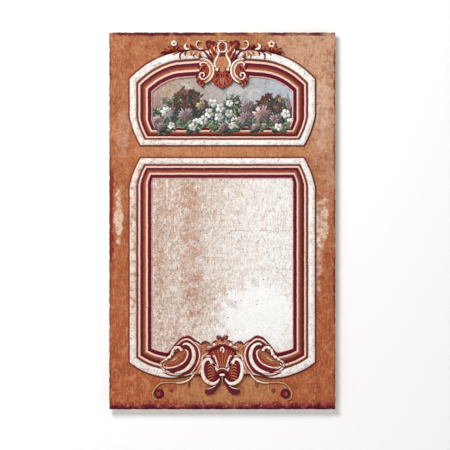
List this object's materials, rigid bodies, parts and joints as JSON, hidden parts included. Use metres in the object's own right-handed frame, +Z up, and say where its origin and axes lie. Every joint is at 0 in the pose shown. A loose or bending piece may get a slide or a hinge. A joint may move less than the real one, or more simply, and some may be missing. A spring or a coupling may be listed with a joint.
{
  "type": "trumeau mirror",
  "caption": "Tall wall mirror with a distressed ground board, a painted panel above an antiqued glass, cartouche mouldings and carved scroll and shell ornament.",
  "frame": {"origin": "on the wall plane, at the middle of the foot: the lower edge of the back frame's bottom rail", "axes": "+Z up, +Y into the wall, front faces -Y, +X to the viewer's right"},
  "size_m": [0.9144, 0.064, 1.524],
  "materials": {
    "ground_board": "distressed terracotta paint over wood, worn and stained dark at the edges",
    "back_frame": "bare planed pine",
    "moulding_paint": "painted in cream, brown and maroon bands, rubbed back",
    "carving_paint": "carved and painted, cream highlights over terracotta and dark red",
    "painting": "floral painting on a panel under satin varnish",
    "antique_mirror": "antiqued silvering with warm foxing",
    "liner_card": "plain card",
    "backing_board": "bare hardboard",
    "screw_steel": "zinc plated",
    "button_steel": "brass-plated steel, dulled",
    "hanger_steel": "zinc plated"
  },
  "bodies": {
    "trumeau": {"face_board": "ground_board", "back_bottom_rail": "back_frame", "back_top_rail": "back_frame", "back_stile_right": "back_frame", "back_stile_left": "back_frame", "hanging_rail": "back_frame", "middle_rail": "back_frame", "frame_screws": "screw_steel", "turn_button_screws": "screw_steel", "hanger_screws": "screw_steel", "mirror_plate": "antique_mirror", "mirror_liner": "liner_card", "mirror_backing": "backing_board", "painted_panel": "painting", "panel_backing": "backing_board", "hanger_strap_right": "hanger_steel", "upper_corner_moulding_right": "moulding_paint", "upper_stile_moulding_right": "moulding_paint", "arch_moulding_right": "moulding_paint", "lower_corner_moulding_right": "moulding_paint", "lower_stile_moulding_right": "moulding_paint", "foot_moulding_right": "moulding_paint", "crown_scroll_right": "carving_paint", "wing_right": "carving_paint", "spray_right": "carving_paint", "volute_right": "carving_paint", "tail_right": "carving_paint", "great_scroll_right": "carving_paint", "acanthus_right": "carving_paint", "tendril_right": "carving_paint", "hanger_strap_left": "hanger_steel", "upper_corner_moulding_left": "moulding_paint", "upper_stile_moulding_left": "moulding_paint", "arch_moulding_left": "moulding_paint", "lower_corner_moulding_left": "moulding_paint", "lower_stile_moulding_left": "moulding_paint", "foot_moulding_left": "moulding_paint", "crown_scroll_left": "carving_paint", "wing_left": "carving_paint", "spray_left": "carving_paint", "volute_left": "carving_paint", "tail_left": "carving_paint", "great_scroll_left": "carving_paint", "acanthus_left": "carving_paint", "tendril_left": "carving_paint", "upper_sill_moulding": "moulding_paint", "lower_head_moulding": "moulding_paint", "urn": "carving_paint", "crown_shell": "carving_paint", "foot_hub": "carving_paint", "foot_shell": "carving_paint", "foot_crest": "carving_paint"},
    "turn_button_lower_right": {"turn_button_lower_right": "button_steel"},
    "turn_button_middle_right": {"turn_button_middle_right": "button_steel"},
    "turn_button_upper_right": {"turn_button_upper_right": "button_steel"},
    "hanger_ring_right": {"hanger_ring_right": "hanger_steel"},
    "turn_button_lower_left": {"turn_button_lower_left": "button_steel"},
    "turn_button_middle_left": {"turn_button_middle_left": "button_steel"},
    "turn_button_upper_left": {"turn_button_upper_left": "button_steel"},
    "hanger_ring_left": {"hanger_ring_left": "hanger_steel"}
  },
  "joints": [
    {"name": "turn_button_lower_right_swivel", "type": "hinge", "parent": "trumeau", "child": "turn_button_lower_right", "pos_m": [0.3015, -0.02095, 0.3689], "axis": [0, 1, 0], "range_deg": [-90, 90]},
    {"name": "turn_button_middle_right_swivel", "type": "hinge", "parent": "trumeau", "child": "turn_button_middle_right", "pos_m": [0.3015, -0.02095, 0.7976], "axis": [0, 1, 0], "range_deg": [-90, 90]},
    {"name": "turn_button_upper_right_swivel", "type": "hinge", "parent": "trumeau", "child": "turn_button_upper_right", "pos_m": [0.3015, -0.02095, 1.2445], "axis": [0, 1, 0], "range_deg": [-90, 90]},
    {"name": "hanger_ring_right_swing", "type": "hinge", "parent": "trumeau", "child": "hanger_ring_right", "pos_m": [0.2032, -0.0047, 1.429], "axis": [1, 0, 0], "range_deg": [0, 180]},
    {"name": "turn_button_lower_left_swivel", "type": "hinge", "parent": "trumeau", "child": "turn_button_lower_left", "pos_m": [-0.3015, -0.02095, 0.3689], "axis": [0, 1, 0], "range_deg": [-90, 90]},
    {"name": "turn_button_middle_left_swivel", "type": "hinge", "parent": "trumeau", "child": "turn_button_middle_left", "pos_m": [-0.3015, -0.02095, 0.7976], "axis": [0, 1, 0], "range_deg": [-90, 90]},
    {"name": "turn_button_upper_left_swivel", "type": "hinge", "parent": "trumeau", "child": "turn_button_upper_left", "pos_m": [-0.3015, -0.02095, 1.2445], "axis": [0, 1, 0], "range_deg": [-90, 90]},
    {"name": "hanger_ring_left_swing", "type": "hinge", "parent": "trumeau", "child": "hanger_ring_left", "pos_m": [-0.2032, -0.0047, 1.429], "axis": [1, 0, 0], "range_deg": [0, 180]}
  ]
}
